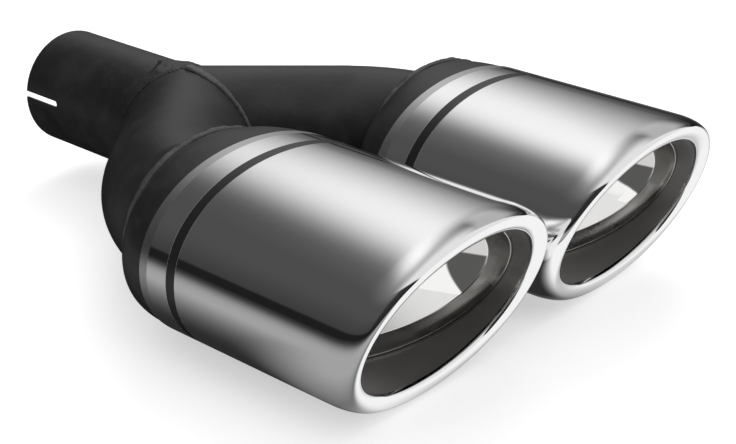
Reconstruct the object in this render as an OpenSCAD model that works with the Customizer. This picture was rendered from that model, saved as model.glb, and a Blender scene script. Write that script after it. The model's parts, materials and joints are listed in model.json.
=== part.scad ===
// Twin oval exhaust tip. A slotted inlet pipe splits into two bent branch
// pipes, and each branch carries a domed cone and an oval polished sleeve.
// The origin is the middle of the inlet's open end. +Y leaves the inlet
// along its bore, the two mouths face -Y, and +Z is up.

/* [Inlet pipe] */
// Bore that slips over the tailpipe
inlet_bore = 54; // [50:0.5:56]
// Wall of the inlet pipe
inlet_wall = 1.2; // [1:0.1:2]
// From the open end to where the branches' centre lines meet
inlet_length = 93.2; // [80:0.1:130]
// Width of each clamping slot
slot_width = 3; // [2:0.5:5]
// Length of each clamping slot from the open end
slot_length = 25; // [12:1:35]
// Turn of the two slots about the bore, from level
slot_turn = 4; // [-20:1:20]

/* [Branch pipes] */
// Outside diameter of a branch pipe
branch_diameter = 63.5; // [62:0.1:68]
// Wall of a branch pipe
branch_wall = 1.5; // [1:0.1:2.5]
// Drop of the branches' centre lines below the inlet's
branch_drop = 2.4; // [1:0.1:4]
// Angle that each branch leaves the inlet's line by
branch_angle = 45; // [40:0.5:50]
// Bend radius on the pipe's centre line
bend_radius = 58; // [45:0.5:75]
// Angle still left at the neck, where the pipe enters the cone
neck_tilt = 13.5; // [5:0.5:20]
// Outward shift of the neck from the sleeve's centre line
neck_shift = 4.2; // [0:0.1:6]
// Straight stub past the bend, inside the cone
stub_length = 8; // [6:0.5:12]
// Root gap between the two mitred branch pipes
mitre_gap = 0.1; // [0:0.05:0.4]

/* [Sleeves] */
// Distance between the centre lines of the two sleeves
tip_spacing = 126.7; // [125:0.1:140]
// Drop of the sleeves' centre lines below the inlet's
tip_drop = 1.2; // [0:0.1:5]
// Outside width of a sleeve
tip_width = 120; // [110:1:120]
// Outside height of a sleeve
tip_height = 83; // [76:1:86]
// Fullness of the oval, 2 is a plain ellipse
oval_power = 2.06; // [2:0.02:2.3]
// Wall of a sleeve
sleeve_wall = 1.5; // [1:0.1:2]
// Length of the sleeves, on the middle line between them
sleeve_length = 100.3; // [85:0.1:130]
// Angle of the mouths' slant from top to bottom
cut_rake = 21.2; // [0:0.1:28]
// Angle of the mouths' slant from left to right
cut_turn = 6.2; // [-8:0.1:8]
// Width of the rolled lip, from the sleeve's side to its inner wall
lip_width = 10; // [8:0.1:11]
// Inset of the lip's crest from the sleeve's side
lip_crest = 4.7; // [4:0.1:6]
// Forward bulge of the rolled lip
lip_bulge = 3.2; // [2.5:0.1:5]
// Length over which the sleeve rounds in to the lip
round_length = 12; // [9:1:20]
// Length of the inner wall that laps over the liner
skirt_lap = 5; // [3:0.5:6]

/* [Cones] */
// Distance from the sleeve's rear edge back to the cone's neck
cone_length = 37.3; // [30:0.1:60]
// Wall of a cone
cone_wall = 1.5; // [1:0.1:2]
// Distance from the sleeve's rear edge back to the cone's weld ring
ring_back = 20.2; // [17:0.1:24]
// Step in from the sleeve's side to the cone's weld ring
ring_inset = 14.8; // [12:0.1:17]
// Step down from the sleeve's top to the cone's weld ring
ring_drop = 2.5; // [2:0.1:4.5]
// Roundness of the dome past the ring, less is squarer
dome_power = 0.8; // [0.6:0.05:1]
// Length of the cone's rim inside the sleeve
rim_length = 12; // [6:1:20]
// Step down from the sleeve's side to the cone
rim_step = 0.5; // [0.2:0.1:1]

/* [Liners] */
// Depth of the liner's front edge behind the middle of the mouth
liner_depth = 25.3; // [23:0.1:28]
// Angle of the liner's front edge from left to right
liner_turn = -13.1; // [-16:0.1:-6]
// Wall of a liner
liner_wall = 1.2; // [1:0.1:2]
// Play between the liner's round pipe and the branch pipe
liner_play = 0.25; // [0.1:0.05:1]
// Length of the liner's pipe inside the branch pipe
liner_overlap = 5; // [2:0.5:6]
// Inset of the liner's throat from the sleeve's side
throat_inset = 14; // [13:0.5:18]
// Depth of the liner's throat behind the middle of the mouth
throat_depth = 43; // [41:0.5:48]
// Angle of the liner's throat from left to right
throat_turn = -21; // [-24:0.5:-16]
// Angle of the liner's throat from top to bottom
throat_rake = 16; // [12:0.5:24]

/* [Welds] */
// Height of the weld beads
weld_height = 1.3; // [0.8:0.1:2]
// Width of the weld beads
weld_width = 4; // [2:0.1:6]

/* [Hidden] */
$fn = 96;
sides = 56;
bore_radius = inlet_bore/2;
inlet_radius = bore_radius + inlet_wall;
branch_radius = branch_diameter/2;
branch_bore_radius = branch_radius - branch_wall;
half_spacing = tip_spacing/2;
// middle of the neck, and the straight run that leads to the bend
neck_x = half_spacing + neck_shift;
run_length = (neck_x - bend_radius*(cos(neck_tilt) - cos(branch_angle)))
    /sin(branch_angle);
bend_y = -inlet_length - run_length*cos(branch_angle)
    - bend_radius*sin(branch_angle);
neck_y = bend_y + bend_radius*sin(neck_tilt);
rear_y = neck_y - cone_length;
ring_y = rear_y + ring_back;
// the necks are polygons drawn round the true circle
neck_radius = branch_radius/cos(180/sides);
liner_pipe_radius = branch_bore_radius - liner_play;
// squareness of the rounding that leads to the lip
lip_power = 0.87;
// the bend is drawn this much thinner, and laps into the straights
bend_step = 0.12;
lap = 1.5;
lap_angle = 1.5;

function part_power(v, e) = sign(v)*pow(abs(v), e);

// A point on the oval, moved inward by inset at right angles to the oval.
function oval(a, inset) =
    let (w = tip_width/2, h = tip_height/2, e = 2/oval_power,
         x = h*part_power(cos(a), 2 - e), z = w*part_power(sin(a), 2 - e),
         m = sqrt(x*x + z*z))
    [w*part_power(cos(a), e) - inset*x/m, h*part_power(sin(a), e) - inset*z/m];

// The slanted plane that both mouths lie in.
function mouth_y(x, z) =
    rear_y - sleeve_length + tan(cut_turn)*x - tan(cut_rake)*(z + tip_drop);

// A ring of points on the oval: fixed in y, or at a depth behind the mouth.
function flat_ring(cx, inset, y) =
    [for (i = [0:sides-1]) let (p = oval(360*i/sides, inset))
        [cx + p[0], y, p[1] - tip_drop]];
function slant_ring(cx, inset, depth) =
    [for (i = [0:sides-1]) let (p = oval(360*i/sides, inset))
        [cx + p[0], mouth_y(cx + p[0], p[1] - tip_drop) + depth,
         p[1] - tip_drop]];
// A ring of the liner, turned and raked on its own about the mouth's middle.
function liner_ring(cx, inset, depth, turn, rake) =
    [for (i = [0:sides-1]) let (p = oval(360*i/sides, inset))
        [cx + p[0], mouth_y(cx, -tip_drop) + depth + tan(turn)*p[0]
            - tan(rake)*p[1], p[1] - tip_drop]];
// The rounding from the side to the crest, and the roll from there inward.
function rounding(cx, side_inset, bulge, t) =
    slant_ring(cx, lip_crest - (lip_crest - side_inset)*pow(cos(t), lip_power),
        round_length - (round_length + bulge)*pow(sin(t), lip_power));
function roll(cx, width, bulge, t) =
    slant_ring(cx, lip_crest + (width - lip_crest)*sin(t), -bulge*cos(t));
// A round ring square to the branch's stub, a step past the neck.
function stub_ring(side, r, step) =
    [for (i = [0:sides-1]) let (a = 360*i/sides)
        [side*(neck_x + step*sin(neck_tilt)) + r*cos(a)*cos(neck_tilt),
         neck_y - step*cos(neck_tilt) + side*r*cos(a)*sin(neck_tilt),
         r*sin(a) - branch_drop]];
// A ring part way between two others, t along y and g across.
function between(p, q, t, g) =
    [for (i = [0:sides-1])
        [p[i][0] + (q[i][0] - p[i][0])*g, p[i][1] + (q[i][1] - p[i][1])*t,
         p[i][2] + (q[i][2] - p[i][2])*g]];

// The cone's ring at its weld, moved inward by inset and along y.
function weld_ring(inset, y) =
    [for (i = [0:sides-1]) let (a = 360*i/sides)
        [neck_x + (tip_width/2 - ring_inset - inset)*cos(a), y,
         (tip_height/2 - ring_drop - inset)*sin(a) - tip_drop]];

// A closed skin over rings whose section closes on itself.
module skin(rings, flip = false) {
    k = len(rings);
    polyhedron(points = [for (r = rings) for (p = r) p],
        faces = [for (j = [0:k-1]) for (i = [0:sides-1])
            let (a = j*sides + i, b = j*sides + (i+1)%sides,
                 c = ((j+1)%k)*sides + i, d = ((j+1)%k)*sides + (i+1)%sides)
            each flip ? [[a, b, c], [b, d, c]] : [[a, c, b], [b, c, d]]],
        convexity = 8);
}

// The solid run of the right branch, made to any radius.
module branch_run(r, extra = 0) {
    translate([0, 0, -branch_drop]) {
        translate([0, -inlet_length, 0]) rotate([90, 0, branch_angle])
            translate([0, 0, -60]) cylinder(h = run_length + 60 + lap, r = r);
        translate([neck_x - bend_radius*cos(neck_tilt), bend_y, 0])
            rotate([0, 0, neck_tilt - lap_angle])
                rotate_extrude(angle = branch_angle - neck_tilt + lap_angle)
                    translate([bend_radius, 0]) circle(r - bend_step);
        translate([neck_x, neck_y, 0]) rotate([90, 0, neck_tilt])
            cylinder(h = stub_length + extra, r = r);
    }
}

module right_half(gap = 0) {
    translate([gap/2, -400, -100]) cube([200, 400, 200]);
}

module both_branches(r) {
    intersection() { branch_run(r); right_half(); }
    mirror([1, 0, 0]) intersection() { branch_run(r); right_half(); }
}

module inlet_line(r) {
    translate([0, 1, 0]) rotate([90, 0, 0])
        cylinder(h = inlet_length + 1, r = r);
}

module branch_pipe() {
    difference() {
        intersection() { branch_run(branch_radius); right_half(mitre_gap); }
        branch_run(branch_bore_radius, 1);
        inlet_line(bore_radius);
    }
}

// The cone's outside, from the round neck to its ring and on to the rim.
function bell(t) = between(stub_ring(1, neck_radius + 0.6, 0),
    weld_ring(0, ring_y), t, pow(t, 1.5));
function dome(a) = between(weld_ring(0, ring_y),
    flat_ring(half_spacing, rim_step, rear_y),
    1 - pow(cos(a), dome_power), sin(a));

module cone() {
    inner_fore = stub_ring(1, neck_radius, 3);
    inner_ring = weld_ring(cone_wall, ring_y - cone_wall);
    inner_rim = flat_ring(half_spacing, sleeve_wall + cone_wall, rear_y);
    skin(concat(
        [for (t = [0, 0.3, 0.5, 0.7]) bell(t)],
        [for (a = [0:15:90]) dome(a)],
        [flat_ring(half_spacing, sleeve_wall, rear_y),
         flat_ring(half_spacing, sleeve_wall, rear_y - rim_length),
         flat_ring(half_spacing, sleeve_wall + cone_wall, rear_y - rim_length)],
        [for (a = [90:-15:0])
            between(inner_ring, inner_rim, 1 - pow(cos(a), dome_power), sin(a))],
        [for (t = [0.66, 0.33]) between(inner_fore, inner_ring, t, pow(t, 1.5))],
        [inner_fore, stub_ring(1, neck_radius, 0)]));
}

// A bead over the cone's ring, its base on the cone's own facets.
module neck_weld() {
    skin([bell(0.7), bell(1), dome(15),
        weld_ring(-weld_height, ring_y + 0.3),
        weld_ring(0.3 - weld_height, ring_y + weld_width/2),
        weld_ring(1.9 - weld_height, ring_y + weld_width - 0.2)], flip = true);
}

module sleeve(cx) {
    skin(concat(
        [flat_ring(cx, 0, rear_y)],
        [for (t = [0:11.25:90]) rounding(cx, 0, lip_bulge, t)],
        [for (t = [22.5:22.5:90]) roll(cx, lip_width, lip_bulge, t)],
        [liner_ring(cx, lip_width, liner_depth + skirt_lap, liner_turn, cut_rake),
         liner_ring(cx, lip_width - 1.2, liner_depth + skirt_lap, liner_turn,
             cut_rake)],
        [for (t = [90:-45:0]) roll(cx, lip_width - 1.2, lip_bulge - 1.3, t)],
        [for (t = [60:-30:0]) rounding(cx, sleeve_wall, lip_bulge - 1.3, t)],
        [flat_ring(cx, sleeve_wall, rear_y)]));
}

module liner(side) {
    cx = side*half_spacing;
    pipe_end = stub_length - liner_overlap;
    skin([
        liner_ring(cx, lip_width + liner_wall, liner_depth, liner_turn, cut_rake),
        liner_ring(cx, lip_width + liner_wall, liner_depth + skirt_lap - 1,
            liner_turn, cut_rake),
        liner_ring(cx, throat_inset + liner_wall, throat_depth, throat_turn,
            throat_rake),
        stub_ring(side, liner_pipe_radius - liner_wall, stub_length + 30),
        stub_ring(side, liner_pipe_radius - liner_wall, pipe_end),
        stub_ring(side, liner_pipe_radius, pipe_end),
        stub_ring(side, liner_pipe_radius, stub_length + 30),
        liner_ring(cx, throat_inset, throat_depth + 0.5, throat_turn,
            throat_rake),
        liner_ring(cx, lip_width, liner_depth + skirt_lap, liner_turn, cut_rake),
        liner_ring(cx, lip_width, liner_depth, liner_turn, cut_rake)]);
}

// Inlet pipe with two opposite clamping slots, open end at the origin.
module inlet_pipe() {
    color([0.16, 0.16, 0.17])
    difference() {
        rotate([90, 0, 0]) cylinder(h = inlet_length, r = inlet_radius);
        inlet_line(bore_radius);
        both_branches(branch_radius);
        rotate([0, slot_turn, 0])
            translate([-inlet_radius - 5, -slot_length + slot_width/2,
                       -slot_width/2])
                cube([2*inlet_radius + 10, slot_length + 5, slot_width]);
        rotate([0, slot_turn, 0])
            translate([0, -slot_length + slot_width/2, 0])
                rotate([0, 90, 0])
                    cylinder(h = 2*inlet_radius + 10, r = slot_width/2,
                             center = true, $fn = 24);
    }
}

// Branch pipes, bent halves that meet on the middle plane.
module left_branch_pipe() {
    color([0.17, 0.17, 0.18]) mirror([1, 0, 0]) branch_pipe();
}
module right_branch_pipe() {
    color([0.17, 0.17, 0.18]) branch_pipe();
}

// Weld collar where the inlet pipe sits on the branches.
module inlet_weld() {
    color([0.2, 0.2, 0.21])
    difference() {
        intersection() {
            inlet_line(inlet_radius + weld_height);
            both_branches(branch_radius + weld_width*0.7);
        }
        inlet_line(inlet_radius);
        both_branches(branch_radius);
    }
}

// Weld along the saddle where the two branches meet.
module centre_weld() {
    color([0.2, 0.2, 0.21])
    difference() {
        intersection() {
            branch_run(branch_radius + weld_height);
            mirror([1, 0, 0]) branch_run(branch_radius + weld_height);
            translate([-weld_width/2, -inlet_length - 100, -100])
                cube([weld_width, 100, 200]);
        }
        both_branches(branch_radius);
    }
}

// Welds round the necks of the cones.
module left_neck_weld() {
    color([0.2, 0.2, 0.21]) mirror([1, 0, 0]) neck_weld();
}
module right_neck_weld() {
    color([0.2, 0.2, 0.21]) neck_weld();
}

// Domed cones from the round necks to the oval sleeves.
module left_cone() {
    color([0.17, 0.17, 0.18]) mirror([1, 0, 0]) cone();
}
module right_cone() {
    color([0.17, 0.17, 0.18]) cone();
}

// Polished oval sleeves with the slanted, rolled mouths.
module left_sleeve() {
    color([0.82, 0.83, 0.85]) sleeve(-half_spacing);
}
module right_sleeve() {
    color([0.82, 0.83, 0.85]) sleeve(half_spacing);
}

// Liners that funnel from the mouths down to a round pipe.
module left_liner() {
    color([0.7, 0.69, 0.67]) liner(-1);
}
module right_liner() {
    color([0.7, 0.69, 0.67]) liner(1);
}

inlet_pipe();
left_branch_pipe();
right_branch_pipe();
inlet_weld();
centre_weld();
left_neck_weld();
right_neck_weld();
left_cone();
right_cone();
left_sleeve();
right_sleeve();
left_liner();
right_liner();
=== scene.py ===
import json
import math

import bpy
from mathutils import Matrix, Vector

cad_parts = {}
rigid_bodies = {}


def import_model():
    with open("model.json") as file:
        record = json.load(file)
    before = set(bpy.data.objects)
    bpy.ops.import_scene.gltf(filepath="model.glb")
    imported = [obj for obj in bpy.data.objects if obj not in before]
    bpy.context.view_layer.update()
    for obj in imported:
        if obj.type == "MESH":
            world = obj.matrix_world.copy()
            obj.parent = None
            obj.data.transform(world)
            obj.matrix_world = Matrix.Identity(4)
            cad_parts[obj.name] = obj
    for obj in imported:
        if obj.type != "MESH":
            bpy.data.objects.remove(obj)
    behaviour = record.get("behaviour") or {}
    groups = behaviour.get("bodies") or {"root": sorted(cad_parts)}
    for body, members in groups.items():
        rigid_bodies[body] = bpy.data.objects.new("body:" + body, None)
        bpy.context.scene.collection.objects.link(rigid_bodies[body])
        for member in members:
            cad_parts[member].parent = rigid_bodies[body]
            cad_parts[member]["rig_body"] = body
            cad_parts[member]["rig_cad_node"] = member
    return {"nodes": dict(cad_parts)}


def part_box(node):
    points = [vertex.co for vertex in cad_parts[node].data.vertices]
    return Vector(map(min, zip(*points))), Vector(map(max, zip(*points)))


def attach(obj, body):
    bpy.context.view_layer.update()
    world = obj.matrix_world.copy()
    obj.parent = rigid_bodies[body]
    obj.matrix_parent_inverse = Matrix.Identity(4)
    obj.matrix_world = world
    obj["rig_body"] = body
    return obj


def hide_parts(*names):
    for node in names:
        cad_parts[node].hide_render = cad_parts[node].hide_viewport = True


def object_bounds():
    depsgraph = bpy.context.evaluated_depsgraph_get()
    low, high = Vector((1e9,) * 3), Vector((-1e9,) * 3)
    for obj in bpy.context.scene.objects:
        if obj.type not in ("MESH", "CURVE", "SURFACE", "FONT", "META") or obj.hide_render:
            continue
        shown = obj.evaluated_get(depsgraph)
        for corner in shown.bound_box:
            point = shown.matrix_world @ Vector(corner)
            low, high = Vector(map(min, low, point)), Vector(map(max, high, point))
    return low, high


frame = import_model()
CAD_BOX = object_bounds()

bl_info = {
    "name": "Dual oval exhaust tip",
    "version": (1, 0, 0),
    "blender": (4, 5, 0),
    "location": "3D View > Sidebar > Exhaust tip",
    "description": "Dresses the dual oval exhaust tip and sets its studio",
    "category": "Object",
}

# Places read from the frame
REAR_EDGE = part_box("left_sleeve")[1].y
SLEEVE_X = (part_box("right_sleeve")[0].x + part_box("right_sleeve")[1].x) / 2
SLEEVE_Z = (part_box("left_sleeve")[0].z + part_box("left_sleeve")[1].z) / 2
WELD_RING = (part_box("left_neck_weld")[0].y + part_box("left_neck_weld")[1].y) / 2
FLOOR = CAD_BOX[0].z
MIDDLE = (CAD_BOX[0] + CAD_BOX[1]) / 2

# The sleeves' measures in metres: length at x = 0, half sizes, and insets from the side
SLEEVE_LENGTH = 0.1003
HALF_WIDTH, HALF_HEIGHT = 0.06, 0.0415
WALL_INSET, RIM_INSET = 0.0094, 0.0108

# Slanted planes in the liners, at the rim and at the throat: depth behind the mouth's
# middle, turn from left to right, and rake from top to bottom
RIM_DEPTH, RIM_TURN = 0.0253, math.radians(-13.1)
THROAT_DEPTH, THROAT_TURN, THROAT_RAKE = 0.0405, math.radians(-21), math.radians(16)

# Painted reflection beyond the throat: its colour, and those of the patch beside it, which are a
# painted grey reflection above and a painted shade below
THROAT_PAINTED_REFLECTION = (0.95, 0.945, 0.93)
PATCH_PAINTED_REFLECTION, PATCH_PAINTED_SHADE = (0.66, 0.65, 0.64), (0.1, 0.099, 0.096)

# The painted patch's sharp side, how much further out it is in the right liner, and the height
# between its painted reflection and its painted shade
PAINTED_PATCH_EDGE, RIGHT_SHIFT, PAINTED_PATCH_SPLIT = 0.04, 0.0032, 0.0015

# The shading normals beyond the throat, under and over a height
LOW_HEIGHT = -0.0155
FACES_LOW = (-0.313, -0.834, 0.454)
FACES_HIGH_LEFT, FACES_HIGH_RIGHT = (-0.357, -0.922, 0.149), (-0.458, -0.881, 0.118)

# Mesh cells, passes of softening and levels of subdivision
PIPE_CELL, PIPE_SOFTNESS = 0.00085, 4
ROUND_LEVELS = 2

# Weld beads: cell against the set grain, passes of softening, and the lumps' middle level
WELDS = (("inlet_weld", 0.6, 2, 0.5), ("centre_weld", 1.0, 1, 0.15),
         ("left_neck_weld", 1.0, 4, 0.15), ("right_neck_weld", 1.0, 4, 0.15))

# Lamps: place from the object's middle, and power in watts
LAMPS = (((0.7, 0.5, 0.9), 5.0), ((-0.6, -0.7, 1.0), 3.0))
LAMP_SIZE = 0.9

# The bright lobe in reflections: azimuth, elevation and tilt in degrees, widths and powers
LOBE_AZIMUTH, LOBE_ELEVATION, LOBE_TILT = 32.1, 48.2, -22.8
LOBE_LENGTH, LOBE_WIDTH, LOBE_STRENGTH = (0.616, 3.77), (0.189, 2.37), 1.08
CARD_WAY = Vector((0.84, 0.33, 0.43)).normalized()


class PaintSettings(bpy.types.PropertyGroup):
    dark: bpy.props.FloatVectorProperty(
        name="Paint", description="Colour of the satin black paint",
        subtype="COLOR", size=3, min=0, max=1, default=(0.013, 0.013, 0.0135))
    pale: bpy.props.FloatVectorProperty(
        name="Rubbed paint", description="Colour where the paint is rubbed or dusty",
        subtype="COLOR", size=3, min=0, max=1, default=(0.029, 0.029, 0.03))
    weld: bpy.props.FloatVectorProperty(
        name="Painted weld", description="Colour of the paint over the weld beads",
        subtype="COLOR", size=3, min=0, max=1, default=(0.055, 0.055, 0.057))
    peel: bpy.props.FloatProperty(
        name="Orange peel", description="Depth of the paint's fine unevenness",
        min=0, max=1, default=0.12)


class SteelSettings(bpy.types.PropertyGroup):
    mirror: bpy.props.FloatVectorProperty(
        name="Polished steel", description="Colour of the mirror polished sleeve",
        subtype="COLOR", size=3, min=0, max=1, default=(0.94, 0.94, 0.945))
    satin: bpy.props.FloatVectorProperty(
        name="Satin edge", description="Colour of the satin strip at the rear edge",
        subtype="COLOR", size=3, min=0, max=1, default=(0.62, 0.62, 0.63))
    liner: bpy.props.FloatVectorProperty(
        name="Liner steel", description="Colour of the liner inside the mouths",
        subtype="COLOR", size=3, min=0, max=1, default=(0.86, 0.85, 0.83))
    inner: bpy.props.FloatVectorProperty(
        name="Inner wall", description="Colour of the dull wall behind the rolled lip",
        subtype="COLOR", size=3, min=0, max=1, default=(0.6, 0.59, 0.58))
    mouth_turn: bpy.props.FloatProperty(
        name="Mouth turn", description="Slant of the mouths from left to right",
        subtype="ANGLE", default=math.radians(6.2))
    mouth_rake: bpy.props.FloatProperty(
        name="Mouth rake", description="Slant of the mouths from top to bottom",
        subtype="ANGLE", default=math.radians(21.2))
    satin_width: bpy.props.FloatProperty(
        name="Satin strip", description="Width of the satin strip from the rear edge",
        unit="LENGTH", min=0, max=0.02, default=0.0045)
    stripe_start: bpy.props.FloatProperty(
        name="Stripe start", description="Distance of the black stripe from the rear edge",
        unit="LENGTH", min=0, max=0.05, default=0.016)
    stripe_end: bpy.props.FloatProperty(
        name="Stripe end", description="End of the black stripe from the rear edge",
        unit="LENGTH", min=0, max=0.05, default=0.0211)


class WeldSettings(bpy.types.PropertyGroup):
    grain: bpy.props.FloatProperty(
        name="Grain", description="Size of the mesh cells that the beads are carved from",
        unit="LENGTH", min=0.0002, max=0.002, default=0.0005)
    lumps: bpy.props.FloatProperty(
        name="Lumps", description="Height of the lumps on the beads",
        unit="LENGTH", min=0, max=0.002, default=0.0011)


class StageSettings(bpy.types.PropertyGroup):
    lens: bpy.props.FloatProperty(
        name="Lens", description="Focal length of the camera in millimetres",
        min=10, max=300, default=87.1)
    eye: bpy.props.FloatVectorProperty(
        name="Camera", description="Place of the camera",
        subtype="XYZ", unit="LENGTH", size=3, default=(-0.5055, -0.7167, 0.2770))
    aim: bpy.props.FloatVectorProperty(
        name="Aim", description="Point that the camera looks at",
        subtype="XYZ", unit="LENGTH", size=3, default=(-0.0584, -0.2701, 0.0195))
    floor: bpy.props.FloatVectorProperty(
        name="Floor", description="Colour of the floor",
        subtype="COLOR", size=3, min=0, max=1, default=(0.8, 0.8, 0.8))


# Selection and small helpers
def only(*objects):
    bpy.ops.object.select_all(action="DESELECT")
    for o in objects:
        o.select_set(True)
    bpy.context.view_layer.objects.active = objects[0]


def merged_copy(node, name):
    """A copy of a CAD node with its doubles merged, ready to be finished."""
    source = frame["nodes"][node]
    only(source)
    bpy.ops.object.duplicate()
    o = bpy.context.view_layer.objects.active
    o.name = name
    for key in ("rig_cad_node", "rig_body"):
        if key in o:
            del o[key]
    o.data.materials.clear()
    bpy.ops.mesh.customdata_custom_splitnormals_clear()
    bpy.ops.object.mode_set(mode="EDIT")
    bpy.ops.mesh.select_all(action="SELECT")
    bpy.ops.mesh.remove_doubles(threshold=1e-6)
    bpy.ops.object.mode_set(mode="OBJECT")
    return o


def apply_all(o):
    only(o)
    for m in list(o.modifiers):
        bpy.ops.object.modifier_apply(modifier=m.name)


def rounded(o):
    """Turns the triangles to quads and subdivides, with the sharp edges kept."""
    only(o)
    bpy.ops.object.mode_set(mode="EDIT")
    bpy.ops.mesh.select_all(action="SELECT")
    bpy.ops.mesh.tris_convert_to_quads(face_threshold=math.pi, shape_threshold=math.pi)
    bpy.ops.mesh.select_all(action="DESELECT")
    bpy.ops.mesh.select_mode(type="EDGE")
    bpy.ops.mesh.edges_select_sharp(sharpness=math.radians(50))
    bpy.ops.transform.edge_crease(value=1.0)
    bpy.ops.mesh.select_mode(type="VERT")
    bpy.ops.object.mode_set(mode="OBJECT")
    m = o.modifiers.new("Round", "SUBSURF")
    m.levels = m.render_levels = ROUND_LEVELS
    apply_all(o)
    only(o)
    bpy.ops.object.shade_smooth_by_angle(angle=math.radians(40))


def carved(o, cell, softness):
    """Carves the piece again in even cells and softens its edges."""
    remesh = o.modifiers.new("Grain", "REMESH")
    remesh.mode = "VOXEL"
    remesh.voxel_size = cell
    smooth = o.modifiers.new("Soften", "SMOOTH")
    smooth.iterations = softness
    apply_all(o)


def finish_piece(o, node, material):
    o.data.materials.append(material)
    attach(o, "root")
    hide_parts(node)


# Shared node groups
def new_group(name, inputs, outputs):
    g = bpy.data.node_groups.new(name, "ShaderNodeTree")
    for label, value in inputs:
        s = g.interface.new_socket(label, in_out="INPUT", socket_type="NodeSocketFloat")
        s.default_value = value
    for label in outputs:
        g.interface.new_socket(label, in_out="OUTPUT", socket_type="NodeSocketFloat")
    return g, g.nodes.new("NodeGroupInput"), g.nodes.new("NodeGroupOutput")


def node(tree, kind, inputs=(), **settings):
    n = tree.nodes.new(kind)
    for key, value in settings.items():
        setattr(n, key, value)
    for slot, value in inputs:
        if isinstance(value, bpy.types.NodeSocket):
            tree.links.new(value, n.inputs[slot])
        else:
            n.inputs[slot].default_value = value
    return n


def math_node(tree, operation, *values):
    return node(tree, "ShaderNodeMath", enumerate(values), operation=operation).outputs[0]


def product(tree, a, b):
    return math_node(tree, "MULTIPLY", a, b)


def inverse(tree, mask):
    return math_node(tree, "SUBTRACT", 1.0, mask)


def object_coordinates(tree):
    return node(tree, "ShaderNodeTexCoord").outputs["Object"]


def noise(tree, vector, scale, detail, roughness):
    return node(tree, "ShaderNodeTexNoise", [("Vector", vector), ("Scale", scale),
                ("Detail", detail), ("Roughness", roughness)]).outputs["Fac"]


def stretched(tree, vector, scale):
    return node(tree, "ShaderNodeMapping", [("Vector", vector), ("Scale", scale)]).outputs[0]


def ramp(tree, value, low, high):
    """Smooth rise from 0 at low to 1 at high."""
    return node(tree, "ShaderNodeMapRange",
                [("Value", value), ("From Min", low), ("From Max", high)],
                interpolation_type="SMOOTHSTEP").outputs[0]


def grime_group():
    """Soft cloudiness and fine specks that every finish uses at its own strength."""
    found = bpy.data.node_groups.get("surface_cloud")
    if found:
        return found
    g, start, end = new_group("surface_cloud",
                              [("Scale", 30.0), ("Fine Scale", 700.0)],
                              ["Cloud", "Fine", "Rub"])
    where = object_coordinates(g)
    cloud = noise(g, where, start.outputs["Scale"], 4.0, 0.55)
    fine = noise(g, where, start.outputs["Fine Scale"], 2.0, 0.5)
    blotch = noise(g, where, product(g, start.outputs["Scale"], 4.0), 5.0, 0.65)
    g.links.new(cloud, end.inputs["Cloud"])
    g.links.new(fine, end.inputs["Fine"])
    g.links.new(ramp(g, blotch, 0.5, 0.72), end.inputs["Rub"])
    return g


def polish_group():
    """Fine hand polishing lines, stretched along the sleeve's length."""
    found = bpy.data.node_groups.get("polish_lines")
    if found:
        return found
    g, start, end = new_group("polish_lines", [("Amount", 1.0)], ["Lines", "Haze"])
    where = object_coordinates(g)
    lines = noise(g, stretched(g, where, (1.0, 0.04, 1.0)), 1500.0, 2.0, 0.6)
    haze = noise(g, stretched(g, where, (1.0, 0.5, 1.0)), 22.0, 4.0, 0.6)
    g.links.new(product(g, lines, start.outputs["Amount"]), end.inputs["Lines"])
    g.links.new(ramp(g, haze, 0.4, 0.75), end.inputs["Haze"])
    return g


def new_material(name):
    m = bpy.data.materials.new(name)
    m.use_nodes = True
    t = m.node_tree
    return m, t, t.nodes["Principled BSDF"]


def group_node(tree, group, **values):
    n = tree.nodes.new("ShaderNodeGroup")
    n.node_tree = group
    for key, value in values.items():
        n.inputs[key.replace("_", " ")].default_value = value
    return n


def mix_node(tree, data_type, values):
    return node(tree, "ShaderNodeMix", values, data_type=data_type)


def mixed(tree, factor, a, b):
    """Colour mix, where a and b are colours of three numbers or sockets."""
    a, b = ((*c, 1.0) if isinstance(c, tuple) else c for c in (a, b))
    return mix_node(tree, "RGBA", ((0, factor), (6, a), (7, b))).outputs[2]


def blended(tree, factor, a, b):
    return mix_node(tree, "FLOAT", ((0, factor), (2, a), (3, b))).outputs[0]


def turned(tree, factor, a, b):
    return mix_node(tree, "VECTOR", ((0, factor), (4, a), (5, b))).outputs[1]


def paint_material(name="satin_black_paint", weld=False, band=False):
    """Satin black paint, paler over the welds, with a lighter streaky band round the cones' ring.
    """
    found = bpy.data.materials.get(name)
    if found:
        return found
    paint = bpy.context.scene.exhaust_paint
    m, t, bsdf = new_material(name)
    cloud = group_node(t, grime_group(), Scale=34.0, Fine_Scale=620.0)
    low = tuple(paint.weld) if weld else tuple(paint.dark)
    high = tuple(min(1.0, 1.5 * c) for c in low) if weld else tuple(paint.pale)
    shade = mixed(t, ramp(t, cloud.outputs["Cloud"], 0.35, 0.75), low, high)
    shade = mixed(t, product(t, cloud.outputs["Rub"], 0.35), shade, high)
    if band:
        where = object_coordinates(t)
        along = node(t, "ShaderNodeSeparateXYZ", [(0, where)]).outputs["Y"]
        off = math_node(t, "ABSOLUTE", math_node(t, "SUBTRACT", along, WELD_RING))
        streaks = noise(t, stretched(t, where, (1.0, 14.0, 1.0)), 70.0, 4.0, 0.6)
        ground = product(t, inverse(t, ramp(t, off, 0.004, 0.0085)), ramp(t, streaks, 0.3, 0.65))
        shade = mixed(t, ground, shade, tuple(1.1 * c for c in paint.weld))
    t.links.new(shade, bsdf.inputs["Base Color"])
    t.links.new(blended(t, cloud.outputs["Cloud"], 0.36, 0.5), bsdf.inputs["Roughness"])
    bump = node(t, "ShaderNodeBump", [("Strength", paint.peel), ("Distance", 0.0006),
                ("Height", cloud.outputs["Fine"])])
    t.links.new(bump.outputs[0], bsdf.inputs["Normal"])
    return m


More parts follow.
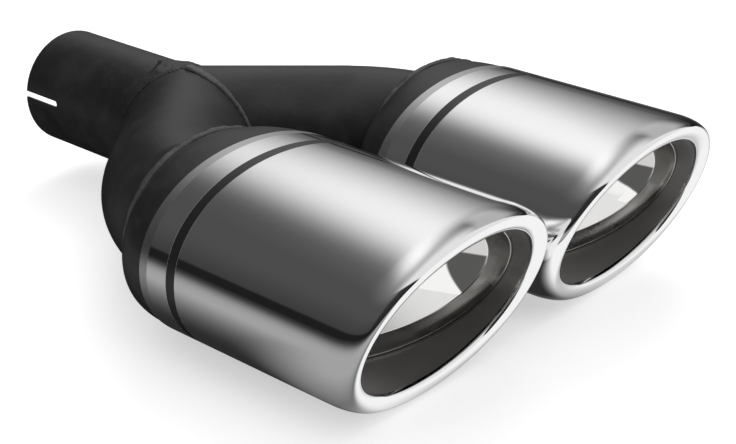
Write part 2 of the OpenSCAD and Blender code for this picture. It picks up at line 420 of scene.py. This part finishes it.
def sleeve_place(t, where):
    """The point's sideways and upward offset from its sleeve's centre line, and that line's x."""
    x = where.outputs["X"]
    centre = product(t, math_node(t, "SIGN", x), SLEEVE_X)
    return (math_node(t, "SUBTRACT", x, centre),
            math_node(t, "SUBTRACT", where.outputs["Z"], SLEEVE_Z), centre)


def behind(t, where, place, depth, turn, rake):
    """Distance along Y behind a slanted plane, set at a depth behind the mouth's middle."""
    steel = bpy.context.scene.exhaust_steel
    across, up, centre = place
    middle = REAR_EDGE - SLEEVE_LENGTH + depth
    plane = math_node(t, "MULTIPLY_ADD", centre, math.tan(steel.mouth_turn), middle)
    plane = math_node(t, "MULTIPLY_ADD", across, math.tan(turn), plane)
    plane = math_node(t, "MULTIPLY_ADD", up, -math.tan(rake), plane)
    return math_node(t, "SUBTRACT", where.outputs["Y"], plane)


def fill(t, place, inset):
    """One on the oval at an inset from the sleeve's side, less within it."""
    across = math_node(t, "POWER", math_node(t, "DIVIDE", place[0], HALF_WIDTH - inset), 2.0)
    up = math_node(t, "POWER", math_node(t, "DIVIDE", place[1], HALF_HEIGHT - inset), 2.0)
    return math_node(t, "ADD", across, up)


def sleeve_material():
    """Mirror steel with a satin rear strip, a black stripe and a dull wall behind the lip."""
    found = bpy.data.materials.get("polished_sleeve")
    if found:
        return found
    steel, paint = bpy.context.scene.exhaust_steel, bpy.context.scene.exhaust_paint
    m, t, bsdf = new_material("polished_sleeve")
    where = node(t, "ShaderNodeSeparateXYZ", [(0, object_coordinates(t))])
    back = math_node(t, "SUBTRACT", REAR_EDGE, where.outputs["Y"])
    soft = 0.00012

    def past(edge):
        return ramp(t, back, edge - soft, edge + soft)

    satin = inverse(t, past(steel.satin_width))
    stripe = product(t, past(steel.stripe_start), inverse(t, past(steel.stripe_end)))
    lines = group_node(t, polish_group(), Amount=1.0)
    cloud = group_node(t, grime_group(), Scale=18.0, Fine_Scale=500.0)
    shade = mixed(t, product(t, cloud.outputs["Cloud"], 0.12),
                  tuple(steel.mirror), tuple(0.93 * c for c in steel.mirror))
    shade = mixed(t, satin, shade, tuple(steel.satin))
    shade = mixed(t, stripe, shade, tuple(paint.dark))
    place = sleeve_place(t, where)
    depth = behind(t, where, place, 0.0, steel.mouth_turn, steel.mouth_rake)
    inside = product(t, ramp(t, depth, 0.0, 0.0012),
                     math_node(t, "LESS_THAN", fill(t, place, WALL_INSET), 1.0))
    shade = mixed(t, inside, shade, tuple(steel.inner))
    t.links.new(shade, bsdf.inputs["Base Color"])
    t.links.new(inverse(t, stripe), bsdf.inputs["Metallic"])
    rough = blended(t, lines.outputs["Haze"], 0.03, 0.055)
    for mask, value in ((satin, 0.34), (stripe, 0.32), (inside, 0.42)):
        rough = blended(t, mask, rough, value)
    t.links.new(rough, bsdf.inputs["Roughness"])
    edge = math_node(t, "ADD", product(t, stripe, -1.0), product(t, lines.outputs["Lines"], 0.02))
    bump = node(t, "ShaderNodeBump", [("Strength", 0.25), ("Distance", 0.00008), ("Height", edge)])
    t.links.new(bump.outputs[0], bsdf.inputs["Normal"])
    return m


def liner_material():
    """Liner steel with a dark line at its rim, and a painted reflection beyond the throat.

    The bright shape is painted reflection, with a patch of painted shade beside it: the colours
    are painted in, and the normal there is turned to suit the photo's side.
    """
    found = bpy.data.materials.get("liner_steel")
    if found:
        return found
    steel = bpy.context.scene.exhaust_steel
    m, t, bsdf = new_material("liner_steel")
    cloud = group_node(t, grime_group(), Scale=26.0, Fine_Scale=900.0)
    lines = group_node(t, polish_group(), Amount=1.0)
    where = node(t, "ShaderNodeSeparateXYZ", [(0, object_coordinates(t))])
    place = sleeve_place(t, where)
    rim = behind(t, where, place, RIM_DEPTH, RIM_TURN, steel.mouth_rake)
    edge = product(t, math_node(t, "LESS_THAN", rim, 0.0002),
                   math_node(t, "GREATER_THAN", fill(t, place, RIM_INSET), 1.0))
    beyond = behind(t, where, place, THROAT_DEPTH, THROAT_TURN, THROAT_RAKE)
    # Beyond the throat plane the colour is painted reflection, and the normal is turned
    throat = ramp(t, beyond, -0.0005, 0.0005)
    right = math_node(t, "GREATER_THAN", where.outputs["X"], 0.0)
    across = math_node(t, "MULTIPLY_ADD", right, -RIGHT_SHIFT, place[0])
    painted_patch = product(t, throat, ramp(t, across, PAINTED_PATCH_EDGE - 0.0003, PAINTED_PATCH_EDGE + 0.0003))
    painted_shade_below = inverse(t, ramp(t, place[1], PAINTED_PATCH_SPLIT - 0.0005, PAINTED_PATCH_SPLIT + 0.0005))
    shade = mixed(t, cloud.outputs["Cloud"], tuple(steel.liner),
                  tuple(0.8 * c for c in steel.liner))
    # Painted reflection beyond the throat; beside it a patch of painted grey reflection over
    # painted shade
    shade = mixed(t, throat, shade, THROAT_PAINTED_REFLECTION)
    shade = mixed(t, painted_patch, shade, PATCH_PAINTED_REFLECTION)
    shade = mixed(t, product(t, painted_patch, painted_shade_below), shade, PATCH_PAINTED_SHADE)
    shade = mixed(t, edge, shade, tuple(0.12 * c for c in steel.inner))
    t.links.new(shade, bsdf.inputs["Base Color"])
    bsdf.inputs["Metallic"].default_value = 1.0
    rough = blended(t, lines.outputs["Haze"], 0.2, 0.4)
    t.links.new(blended(t, throat, rough, 0.07), bsdf.inputs["Roughness"])
    bump = node(t, "ShaderNodeBump", [("Strength", 0.1), ("Distance", 0.0001),
                ("Height", lines.outputs["Lines"])])
    high = turned(t, right, FACES_HIGH_LEFT, FACES_HIGH_RIGHT)
    above = math_node(t, "GREATER_THAN", place[1], LOW_HEIGHT)
    facing = turned(t, throat, bump.outputs[0], turned(t, above, FACES_LOW, high))
    t.links.new(facing, bsdf.inputs["Normal"])
    return m


# Pieces
class EXHAUST_OT_sleeves(bpy.types.Operator):
    """Finishes the two polished oval sleeves with their rolled mouths"""
    bl_idname = "exhaust.sleeves"
    bl_label = "Polished sleeves"

    def execute(self, context):
        for side in ("left", "right"):
            o = merged_copy(f"{side}_sleeve", f"{side}_polished_sleeve")
            rounded(o)
            finish_piece(o, f"{side}_sleeve", sleeve_material())
        return {"FINISHED"}


class EXHAUST_OT_cones(bpy.types.Operator):
    """Finishes the two domed cones in satin black paint"""
    bl_idname = "exhaust.cones"
    bl_label = "Domed cones"

    def execute(self, context):
        for side in ("left", "right"):
            o = merged_copy(f"{side}_cone", f"{side}_domed_cone")
            rounded(o)
            finish_piece(o, f"{side}_cone", paint_material("painted_cone", band=True))
        return {"FINISHED"}


class EXHAUST_OT_liners(bpy.types.Operator):
    """Finishes the two steel liners inside the mouths"""
    bl_idname = "exhaust.liners"
    bl_label = "Steel liners"

    def execute(self, context):
        for side in ("left", "right"):
            o = merged_copy(f"{side}_liner", f"{side}_steel_liner")
            rounded(o)
            finish_piece(o, f"{side}_liner", liner_material())
        return {"FINISHED"}


class EXHAUST_OT_pipes(bpy.types.Operator):
    """Finishes the slotted inlet pipe and the two bent branch pipes"""
    bl_idname = "exhaust.pipes"
    bl_label = "Painted pipes"

    def execute(self, context):
        for name in ("inlet_pipe", "left_branch_pipe", "right_branch_pipe"):
            o = merged_copy(name, f"{name}_painted")
            if name != "inlet_pipe":
                carved(o, PIPE_CELL, PIPE_SOFTNESS)
            only(o)
            bpy.ops.object.shade_smooth_by_angle(angle=math.radians(30))
            finish_piece(o, name, paint_material())
        return {"FINISHED"}


class EXHAUST_OT_welds(bpy.types.Operator):
    """Carves the weld beads from the plain collars"""
    bl_idname = "exhaust.welds"
    bl_label = "Weld beads"

    def execute(self, context):
        weld = context.scene.exhaust_weld
        ripple = bpy.data.textures.new("weld_ripple", "CLOUDS")
        ripple.noise_scale = 0.005
        for name, cell, softness, mid_level in WELDS:
            o = merged_copy(name, f"{name}_bead")
            carved(o, cell * weld.grain, softness)
            lumps = o.modifiers.new("Lumps", "DISPLACE")
            lumps.texture = ripple
            lumps.texture_coords = "LOCAL"
            lumps.strength = weld.lumps
            lumps.mid_level = mid_level
            apply_all(o)
            only(o)
            bpy.ops.object.shade_smooth()
            if name == "inlet_weld":
                finish_piece(o, name, paint_material())
            else:
                finish_piece(o, name, paint_material("painted_weld", weld=True))
        return {"FINISHED"}


class EXHAUST_OT_stage(bpy.types.Operator):
    """Sets the floor, the soft studio light and the camera"""
    bl_idname = "exhaust.stage"
    bl_label = "Studio"

    def execute(self, context):
        stage = context.scene.exhaust_stage
        bpy.ops.object.select_all(action="DESELECT")
        bpy.ops.mesh.primitive_plane_add(size=16, location=(MIDDLE.x, MIDDLE.y, FLOOR))
        floor = context.active_object
        floor.name = "studio_floor"
        floor.data.materials.append(floor_material(stage))
        set_world(context)
        foot = Vector((MIDDLE.x, MIDDLE.y, 0))
        for place, power in LAMPS:
            spot = Vector(place) + foot
            bpy.ops.object.light_add(type="AREA", location=spot)
            lamp = context.active_object
            lamp.data.shape = "SQUARE"
            lamp.data.size = LAMP_SIZE
            lamp.data.energy = power
            lamp.visible_glossy = False
            lamp.rotation_euler = looking(spot, foot)
        bpy.ops.object.camera_add(location=stage.eye)
        camera = context.active_object
        camera.rotation_euler = looking(Vector(stage.eye), Vector(stage.aim))
        camera.data.lens = stage.lens
        camera.data.sensor_width = 36
        camera.data.clip_start = 0.01
        camera.data.clip_end = 50
        context.scene.camera = camera
        context.scene.view_settings.view_transform = "Standard"
        return {"FINISHED"}


def looking(start, target):
    """Rotation that points a lamp or a camera from start at target."""
    return (target - start).to_track_quat("-Z", "Y").to_euler()


def floor_material(stage):
    """A pale floor: white to the camera, and in reflections a glowing pool of painted light with a
    painted shadow under the object.
    """
    m = bpy.data.materials.new("studio_floor")
    m.use_nodes = True
    t = m.node_tree
    t.nodes.clear()
    path = node(t, "ShaderNodeLightPath")
    where = node(t, "ShaderNodeSeparateXYZ", [(0, object_coordinates(t))])
    x = where.outputs["X"]
    out = math_node(t, "ABSOLUTE", x)
    forward = product(t, where.outputs["Y"], -1.0)

    # Painted light in reflections: bright strips beside the object, which fade outwards and draw
    # in ahead of the mouths, and dim painted shadow under it
    drawn_in = math_node(t, "MULTIPLY_ADD", ramp(t, forward, 0.062, 0.117), 0.042, out)
    far = math_node(t, "POWER", math_node(
        t, "DIVIDE", math_node(t, "SUBTRACT", out, 0.2), 0.155), 2.0)
    far = product(t, far, math_node(t, "GREATER_THAN", out, 0.2))
    fade = math_node(t, "DIVIDE", 1.0, math_node(t, "ADD", 1.0, far))
    strips = product(t, ramp(t, drawn_in, 0.112, 0.2), fade)
    pool = math_node(t, "MULTIPLY_ADD", strips, 0.355, 0.026)

    # Painted light brighter ahead on the right, and brightest in front of the mouths
    right = product(t, ramp(t, forward, 0.05, 0.1), ramp(t, x, 0.02, 0.08))
    pool = math_node(t, "MAXIMUM", pool, product(t, right, 0.6))
    front = product(t, ramp(t, forward, 0.122, 0.15), ramp(t, x, -0.11, -0.08))
    pool = blended(t, front, pool, 0.95)

    diffuse = node(t, "ShaderNodeBsdfDiffuse", [("Color", (*stage.floor, 1.0))])
    lift = product(t, path.outputs["Is Camera Ray"], 0.5)
    glow = node(t, "ShaderNodeEmission", [("Strength", lift)])
    shown = node(t, "ShaderNodeAddShader", [(0, diffuse.outputs[0]), (1, glow.outputs[0])])
    pooled = node(t, "ShaderNodeEmission", [("Strength", pool)])
    total = node(t, "ShaderNodeMixShader", [(0, path.outputs["Is Glossy Ray"]),
                 (1, shown.outputs[0]), (2, pooled.outputs[0])])
    node(t, "ShaderNodeOutputMaterial", [("Surface", total.outputs[0])])
    return m


def towards(azimuth, elevation):
    """Direction at an azimuth from +Y towards +X and an elevation, in degrees."""
    a, e = math.radians(azimuth), math.radians(elevation)
    return Vector((math.sin(a) * math.cos(e), math.cos(a) * math.cos(e), math.sin(e)))


def set_world(context):
    """White behind the object, plain light on it, and soft studio shapes in reflections."""
    world = bpy.data.worlds.new("studio")
    context.scene.world = world
    world.use_nodes = True
    t = world.node_tree
    t.nodes.clear()
    way = node(t, "ShaderNodeTexCoord").outputs["Generated"]
    parts = node(t, "ShaderNodeSeparateXYZ", [(0, way)])
    x, height = parts.outputs["X"], parts.outputs["Z"]
    ahead = product(t, parts.outputs["Y"], -1.0)

    def along(direction):
        return node(t, "ShaderNodeVectorMath", [(0, way), (1, tuple(direction))],
                    operation="DOT_PRODUCT").outputs["Value"]

    def fall(direction, width, power):
        reach = math_node(t, "ABSOLUTE", math_node(t, "DIVIDE", along(direction), width))
        return math_node(t, "POWER", reach, power)

    # The long soft lobe that lights the sleeves' crests
    centre = towards(LOBE_AZIMUTH, LOBE_ELEVATION)
    side = centre.cross(Vector((0, 0, 1))).normalized()
    rise = side.cross(centre)
    tilt = math.radians(LOBE_TILT)
    ridge = math.cos(tilt) * rise + math.sin(tilt) * side
    across = math.cos(tilt) * side - math.sin(tilt) * rise
    drop = math_node(t, "ADD", fall(ridge, *LOBE_LENGTH), fall(across, *LOBE_WIDTH))
    lobe = math_node(t, "EXPONENT", product(t, drop, -1.0))
    lobe = product(t, lobe, ramp(t, along(centre), 0.0, 0.1))

    # Dim walls that grow with height and sink ahead
    wall = math_node(t, "ADD", product(t, ramp(t, height, 0.12, 0.17), 0.045),
                     product(t, ramp(t, height, 0.14, 0.55), 0.034))
    wall = math_node(t, "ADD", wall, product(t, ramp(t, height, 0.65, 1.0), 0.17))
    sink = math_node(t, "MULTIPLY_ADD", ramp(t, ahead, 0.25, 0.4), -0.75, 1.0)
    wall = math_node(t, "ADD", product(t, wall, sink), 0.016)

    # White cards over the mouths and on the right
    lean = math_node(t, "MULTIPLY_ADD", x, 0.5, ahead)
    reach = blended(t, ramp(t, height, 0.55, 0.9), ramp(t, ahead, 0.05, 0.2),
                    ramp(t, lean, -0.35, 0.3))
    card = product(t, ramp(t, along(CARD_WAY), -0.11, -0.04), reach)
    above = product(t, ramp(t, height, 0.2, 0.46), ramp(t, x, 0.6, 0.72))
    above = product(t, above, ramp(t, ahead, -0.6, -0.45))
    card = math_node(t, "MAXIMUM", card, product(t, above, 0.53))

    room = blended(t, card, math_node(t, "MULTIPLY_ADD", lobe, LOBE_STRENGTH, wall), 1.0)
    path = node(t, "ShaderNodeLightPath")
    shade = blended(t, path.outputs["Is Glossy Ray"], 0.8, room)
    shade = blended(t, path.outputs["Is Camera Ray"], shade, 1.0)
    back = node(t, "ShaderNodeBackground", [("Strength", shade)])
    node(t, "ShaderNodeOutputWorld", [("Surface", back.outputs[0])])


class EXHAUST_PT_panel(bpy.types.Panel):
    """Sizes, finishes and steps of the exhaust tip"""
    bl_idname = "EXHAUST_PT_panel"
    bl_label = "Exhaust tip"
    bl_space_type = "VIEW_3D"
    bl_region_type = "UI"
    bl_category = "Exhaust tip"

    def draw(self, context):
        layout = self.layout
        for name in ("exhaust_paint", "exhaust_steel", "exhaust_weld", "exhaust_stage"):
            group = getattr(context.scene, name)
            box = layout.box()
            for key in group.bl_rna.properties.keys():
                if key not in ("rna_type", "name"):
                    box.prop(group, key)
        for step in STEPS:
            layout.operator(step.bl_idname)


STEPS = (EXHAUST_OT_sleeves, EXHAUST_OT_cones, EXHAUST_OT_liners, EXHAUST_OT_pipes,
         EXHAUST_OT_welds, EXHAUST_OT_stage)
GROUPS = {"exhaust_paint": PaintSettings, "exhaust_steel": SteelSettings,
          "exhaust_weld": WeldSettings, "exhaust_stage": StageSettings}


def register():
    for name, group in GROUPS.items():
        bpy.utils.register_class(group)
        setattr(bpy.types.Scene, name, bpy.props.PointerProperty(type=group))
    for step in STEPS:
        bpy.utils.register_class(step)
    bpy.utils.register_class(EXHAUST_PT_panel)


def unregister():
    bpy.utils.unregister_class(EXHAUST_PT_panel)
    for step in reversed(STEPS):
        bpy.utils.unregister_class(step)
    for name, group in GROUPS.items():
        delattr(bpy.types.Scene, name)
        bpy.utils.unregister_class(group)


def main():
    register()
    bpy.ops.exhaust.sleeves()
    bpy.ops.exhaust.cones()
    bpy.ops.exhaust.liners()
    bpy.ops.exhaust.pipes()
    bpy.ops.exhaust.welds()
    bpy.ops.exhaust.stage()


if __name__ == "__main__":
    main()
